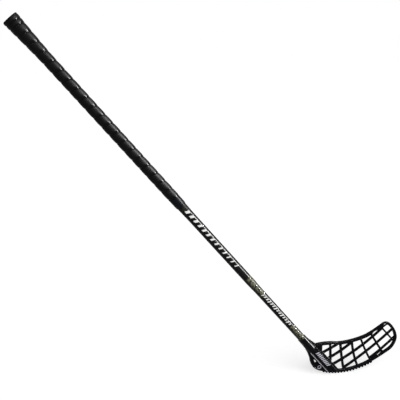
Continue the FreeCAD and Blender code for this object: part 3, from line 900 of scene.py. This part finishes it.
class STICK_OT_fixings(bpy.types.Operator):
    """Turn the cross-recessed screw and dress the glue in the socket"""

    bl_idname = "stick.fixings"
    bl_label = "Fixings"

    # Faces round the screw
    steps = 48
    # Dome of the head: shares of the head's radius, and of its height down from its top
    dome_shares = ((1, 0.55), (0.86, 0.2), (0.6, 0))
    # The cross: length and half width of an arm as shares of the head's radius, size of its floor
    # as a share of its mouth, and its depth
    arm_share, half_share, floor_share = 0.46, 0.11, 0.55
    cross_depth = 1.3 * MM

    def execute(self, context):
        low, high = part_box("blade_screw")
        middle = (low + high) / 2
        shank, head = 1.5 * MM, (high.x - low.x) / 2
        height, point, point_length, point_share = 1.9 * MM, 0.6 * MM, 1.6 * MM, 0.4
        bm = bmesh.new()
        profile = [(0, low.y), (shank * point_share, low.y + point),
                   (shank, low.y + point_length), (shank, high.y - height),
                   (head, high.y - height)]
        profile += [(head * out, high.y - height * drop) for out, drop in self.dome_shares]
        points = [bm.verts.new((radius, along - middle.y, 0)) for radius, along in profile]
        edges = [bm.edges.new(pair) for pair in zip(points, points[1:])]
        bmesh.ops.spin(bm, geom=points + edges, cent=(0, 0, 0), axis=(0, 1, 0),
                       angle=math.tau, steps=self.steps, use_merge=True)
        bmesh.ops.remove_doubles(bm, verts=bm.verts, dist=MERGE)
        self.cross(bm, head, high.y - middle.y)
        bmesh.ops.recalc_face_normals(bm, faces=bm.faces)
        bmesh.ops.translate(bm, verts=bm.verts, vec=middle)
        new_piece("cross_screw", bm, zinc_plated_steel(), "screw_steel", "blade_screw")
        dress_node("hot_melt", amber_hot_melt())
        return {"FINISHED"}

    def cross(self, bm, head, top):
        """Sink a tapering cross into the screw's head."""
        rim = [edge for edge in bm.edges if edge.is_boundary]
        arm, half = head * self.arm_share, head * self.half_share
        corners = []
        for quarter in range(4):
            turn = Matrix.Rotation(math.pi / 2 * quarter, 4, "Y")
            for x, z in ((half, -half), (arm, -half), (arm, half)):
                corners.append(bm.verts.new(turn @ Vector((x, top, z))))
        lip = [bm.edges.new(pair) for pair in zip(corners, corners[1:] + corners[:1])]
        bmesh.ops.bridge_loops(bm, edges=rim + lip)
        sunk = bmesh.ops.extrude_edge_only(bm, edges=lip)["geom"]
        low = [item for item in sunk if isinstance(item, bmesh.types.BMVert)]
        bmesh.ops.scale(bm, vec=(self.floor_share, 1, self.floor_share), verts=low)
        bmesh.ops.translate(bm, vec=(0, -self.cross_depth, 0), verts=low)
        floor = [edge for edge in bm.edges if edge.is_boundary]
        bmesh.ops.holes_fill(bm, edges=floor, sides=0)


class STICK_OT_stage(bpy.types.Operator):
    """Set the floor, the white surroundings, the lamps and the camera"""

    bl_idname = "stick.stage"
    bl_label = "Stage"

    # Half the floor's width, the glow that keeps it white, and the world's light on the stick
    floor_reach, floor_glow, fill_level = 15, 0.58, 0.3
    # The strip light: its width and length, the way to it, how far off it hangs, and how far down
    # from the butt the place on the axis is that it faces
    strip_size = (0.2, 2.2)
    strip_way, strip_distance, strip_aim = Vector((0.646, -0.360, 0.673)), 1.6, 1.39
    # The key light: the width of its sky, the way to it, and how far off it hangs
    key_angle = math.radians(60)
    key_way, key_distance = Vector((0.15, -0.8, 0.58)), 2

    def execute(self, context):
        look = context.scene.stick_stage
        context.scene.view_settings.view_transform = "Standard"
        self.floor()
        self.surroundings(context)
        self.lamps(context, look)
        camera = bpy.data.cameras.new("camera")
        camera.sensor_fit = "HORIZONTAL"
        camera.angle = look.view_angle
        eye = bpy.data.objects.new("camera", camera)
        eye.location = look.eye
        eye.rotation_euler = Euler((math.pi / 2 - look.dip, 0, look.heading))
        context.scene.collection.objects.link(eye)
        context.scene.camera = eye
        return {"FINISHED"}

    def seen(self, tree):
        """Tell the rays that show a background from those that only light the stick."""
        path = add(tree, "LightPath").outputs
        shown = add(tree, "Math", path["Is Camera Ray"], path["Is Glossy Ray"], operation="MAXIMUM")
        return add(tree, "Math", shown, path["Is Transmission Ray"], operation="MAXIMUM")

    def floor(self):
        """Lay a wide pale floor that stays white but keeps the stick's soft shadow."""
        bm = bmesh.new()
        bmesh.ops.create_grid(bm, x_segments=1, y_segments=1, size=self.floor_reach)
        bmesh.ops.translate(bm, verts=bm.verts, vec=(0, 0, FLOOR_Z))
        floor = mesh_object("floor", bm)
        material, tree, _ = new_material("white_studio_floor")
        glow = add(tree, "Math", self.seen(tree), self.floor_glow, operation="MULTIPLY")
        lit = add(tree, "BsdfDiffuse", {"Color": linear(0xd8d8d8)})
        white = add(tree, "Emission", {"Strength": glow})
        add(tree, "OutputMaterial", {"Surface": add(tree, "AddShader", lit, white)})
        floor.data.materials.append(material)

    def surroundings(self, context):
        """Make the world white to look at, and a dim even fill to everything else."""
        world = bpy.data.worlds.new("white_studio")
        world.use_nodes = True
        tree = world.node_tree
        tree.nodes.clear()
        level = add(tree, "MapRange", self.seen(tree), 0, 1, self.fill_level, 1)
        white = add(tree, "Background", {"Color": linear(0xffffff), "Strength": level})
        add(tree, "OutputWorld", {"Surface": white})
        context.scene.world = world

    def lamps(self, context, look):
        """Hang a strip light along the shaft for its gloss, and a wide soft key before it."""
        strip = bpy.data.lights.new("strip_light", "AREA")
        strip.shape = "RECTANGLE"
        strip.size, strip.size_y = self.strip_size
        strip.energy = look.strip_power
        lamp = self.lamp(context, strip, self.strip_way, UP * (BUTT - self.strip_aim),
                         self.strip_distance)
        lamp.visible_diffuse = lamp.visible_camera = False
        key = bpy.data.lights.new("key_light", "SUN")
        key.energy, key.angle = look.key_strength, self.key_angle
        lamp = self.lamp(context, key, self.key_way, Vector(), self.key_distance)
        lamp.visible_glossy = False

    def lamp(self, context, light, way, target, distance):
        """Hang a lamp that faces its target, its length along the shaft."""
        back = way.normalized()
        side = UP.cross(back).normalized()
        turn = Matrix((side, back.cross(side), back)).transposed()
        lamp = bpy.data.objects.new(light.name, light)
        lamp.matrix_world = Matrix.Translation(target + back * distance) @ turn.to_4x4()
        context.scene.collection.objects.link(lamp)
        return lamp


OPERATORS = (STICK_OT_shaft, STICK_OT_grip, STICK_OT_butt, STICK_OT_blade, STICK_OT_fixings,
             STICK_OT_stage)
LOOKS = {"stick_shaft": StickShaftLook, "stick_grip": StickGripLook,
         "stick_blade": StickBladeLook, "stick_stage": StickStageLook}


class STICK_PT_sidebar(bpy.types.Panel):
    """Sizes, colours and building steps of the stick"""

    bl_idname = "STICK_PT_sidebar"
    bl_label = "Floorball stick"
    bl_space_type = "VIEW_3D"
    bl_region_type = "UI"
    bl_category = "Stick"

    def draw(self, context):
        for operator in OPERATORS:
            self.layout.operator(operator.bl_idname)
        for name, group in LOOKS.items():
            box = self.layout.box()
            for value in group.__annotations__:
                box.prop(getattr(context.scene, name), value)


def register():
    """Register the classes and give the scene its groups of sizes and colours."""
    for kind in (*LOOKS.values(), *OPERATORS, STICK_PT_sidebar):
        bpy.utils.register_class(kind)
    for name, group in LOOKS.items():
        setattr(bpy.types.Scene, name, PointerProperty(type=group))


def unregister():
    """Undo what register did."""
    for name in LOOKS:
        delattr(bpy.types.Scene, name)
    for kind in reversed((*LOOKS.values(), *OPERATORS, STICK_PT_sidebar)):
        bpy.utils.unregister_class(kind)


def main():
    """Build the dressed stick on its stage."""
    register()
    bpy.ops.stick.shaft()
    bpy.ops.stick.grip()
    bpy.ops.stick.butt()
    bpy.ops.stick.blade()
    bpy.ops.stick.fixings()
    bpy.ops.stick.stage()


if __name__ == "__main__":
    main()
